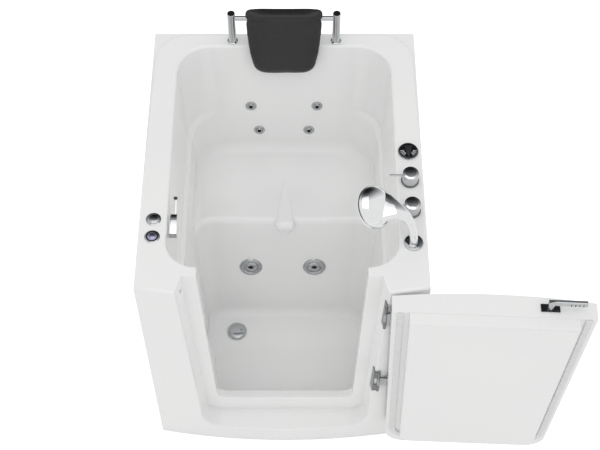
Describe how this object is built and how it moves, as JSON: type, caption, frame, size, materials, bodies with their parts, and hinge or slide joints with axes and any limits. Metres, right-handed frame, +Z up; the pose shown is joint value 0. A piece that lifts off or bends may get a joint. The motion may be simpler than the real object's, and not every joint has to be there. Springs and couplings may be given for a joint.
{
  "type": "walk-in bathtub with door",
  "caption": "Upright walk-in soaking tub with moulded seat, side-hinged front door with latch, jets, deck valves, hand shower, grip handle and head cushion.",
  "frame": {"origin": "floor level under the centre foot, midway between the tub's sides", "axes": "+X towards the door's hinge side, +Y to the rear, +Z up; the door stands open at rest"},
  "size_m": [1.2589, 1.0733, 1.0549],
  "materials": {
    "white_acrylic": "gloss white acrylic",
    "zinc_steel": "zinc plated",
    "foot_plastic": "moulded nylon",
    "motor_paint": "satin paint",
    "pump_plastic": "moulded",
    "impeller_plastic": "moulded",
    "pipe_plastic": "moulded PVC",
    "box_plastic": "moulded",
    "chrome_trim": "polished chrome",
    "light_button_lens": "translucent lens",
    "brass_body": "cast brass",
    "black_dial": "gloss black",
    "shower_face_plastic": "moulded",
    "cushion_skin": "moulded polyurethane skin",
    "door_seal": "silicone",
    "dark_plate": "dark chrome"
  },
  "bodies": {
    "tub": {"tub_shell": "white_acrylic", "side_panel_left": "white_acrylic", "side_panel_right": "white_acrylic", "frame_long_rails": "zinc_steel", "frame_cross_rails": "zinc_steel", "frame_uprights": "zinc_steel", "frame_seat_bearers": "zinc_steel", "levelling_feet": "foot_plastic", "centre_foot": "foot_plastic", "lock_nuts": "zinc_steel", "panel_clips": "zinc_steel", "pump_tray": "zinc_steel", "pump_cradle": "foot_plastic", "pump_motor": "motor_paint", "pump_volute": "pump_plastic", "suction_grille": "chrome_trim", "suction_pipe": "pipe_plastic", "foot_manifold": "pipe_plastic", "back_manifold": "pipe_plastic", "pressure_riser": "pipe_plastic", "control_box": "box_plastic", "power_gland": "pump_plastic", "back_jet_bodies": "pipe_plastic", "back_jet_rings": "chrome_trim", "back_jet_nozzles": "pump_plastic", "foot_jet_bodies": "pipe_plastic", "foot_jet_rings": "chrome_trim", "drain_flange": "chrome_trim", "drain_tailpiece": "pipe_plastic", "button_bezels": "chrome_trim", "button_cups": "foot_plastic", "valve_bodies": "brass_body", "valve_flanges": "chrome_trim", "mixer_pipes": "brass_body", "air_valve": "chrome_trim", "shower_socket": "chrome_trim", "grip_handle": "chrome_trim", "cushion_posts": "chrome_trim", "cushion_rail": "chrome_trim", "jamb_hinge_leaves": "chrome_trim", "hinge_pins": "zinc_steel"},
    "door": {"door_skin": "white_acrylic", "door_pan": "white_acrylic", "door_gasket": "door_seal", "door_hinge_leaves": "chrome_trim", "latch_plate": "dark_plate"},
    "latch_lever": {"latch_lever": "chrome_trim"},
    "latch_bolt": {"latch_bolt": "zinc_steel"},
    "pump_button": {"pump_button": "chrome_trim"},
    "light_button": {"light_button": "light_button_lens"},
    "air_dial": {"air_dial": "black_dial"},
    "hot_knob": {"hot_knob": "chrome_trim"},
    "cold_knob": {"cold_knob": "chrome_trim"},
    "hand_shower": {"hand_shower": "chrome_trim", "shower_face": "shower_face_plastic"},
    "head_cushion": {"head_cushion": "cushion_skin"},
    "drain_cap": {"drain_cap": "chrome_trim"},
    "foot_nozzle_left": {"foot_nozzle_left": "chrome_trim"},
    "foot_nozzle_right": {"foot_nozzle_right": "chrome_trim"},
    "pump_impeller": {"pump_impeller": "impeller_plastic"}
  },
  "joints": [
    {"name": "door_swing", "type": "hinge", "parent": "tub", "child": "door", "pos_m": [0.288, -0.4865, 0.4], "axis": [0, 0, 1], "range_deg": [-177.5, 0]},
    {"name": "latch_turn", "type": "hinge", "parent": "door", "child": "latch_lever", "pos_m": [0.72456, -0.52908, 0.93], "axis": [0, 0, 1], "range_deg": [0, 90]},
    {"name": "bolt_slide", "type": "slide", "parent": "door", "child": "latch_bolt", "axis": [0.999, -0.0436, 0], "range_m": [0, 0.0162]},
    {"name": "pump_button_press", "type": "slide", "parent": "tub", "child": "pump_button", "axis": [0, 0, -1], "range_m": [0, 0.0035], "stiffness_N_per_m": 500},
    {"name": "light_button_press", "type": "slide", "parent": "tub", "child": "light_button", "axis": [0, 0, -1], "range_m": [0, 0.0035], "stiffness_N_per_m": 500},
    {"name": "air_dial_turn", "type": "hinge", "parent": "tub", "child": "air_dial", "pos_m": [0.366, 0, 0.92], "axis": [0, 0, 1], "range_deg": [-90, 90]},
    {"name": "hot_knob_turn", "type": "hinge", "parent": "tub", "child": "hot_knob", "pos_m": [0.366, -0.105, 0.93], "axis": [0, 0, 1], "range_deg": [0, 90]},
    {"name": "cold_knob_turn", "type": "hinge", "parent": "tub", "child": "cold_knob", "pos_m": [0.366, -0.21, 0.93], "axis": [0, 0, 1], "range_deg": [0, 90]},
    {"name": "hand_shower_lift", "type": "slide", "parent": "tub", "child": "hand_shower", "axis": [0, 0, 1], "range_m": [0, 0.15]},
    {"name": "cushion_tilt", "type": "hinge", "parent": "tub", "child": "head_cushion", "pos_m": [0, 0.434, 1.017], "axis": [-1, 0, 0], "range_deg": [0, 80]},
    {"name": "drain_cap_lift", "type": "slide", "parent": "tub", "child": "drain_cap", "axis": [0, 0, 1], "range_m": [0, 0.008]},
    {"name": "foot_nozzle_left_turn", "type": "hinge", "parent": "tub", "child": "foot_nozzle_left", "pos_m": [-0.115, -0.00372, 0.287], "axis": [0, -0.9796, 0.2011], "range_deg": [-90, 90]},
    {"name": "foot_nozzle_right_turn", "type": "hinge", "parent": "tub", "child": "foot_nozzle_right", "pos_m": [0.097, -0.00372, 0.287], "axis": [0, -0.9796, 0.2011], "range_deg": [-90, 90]},
    {"name": "impeller_spin", "type": "hinge", "parent": "tub", "child": "pump_impeller", "pos_m": [-0.09, 0.19, 0.165], "axis": [1, 0, 0], "continuous": true}
  ],
  "couplings": [
    {"joint": "bolt_slide", "follows": "latch_turn", "m_per_rad": 0.0102}
  ]
}
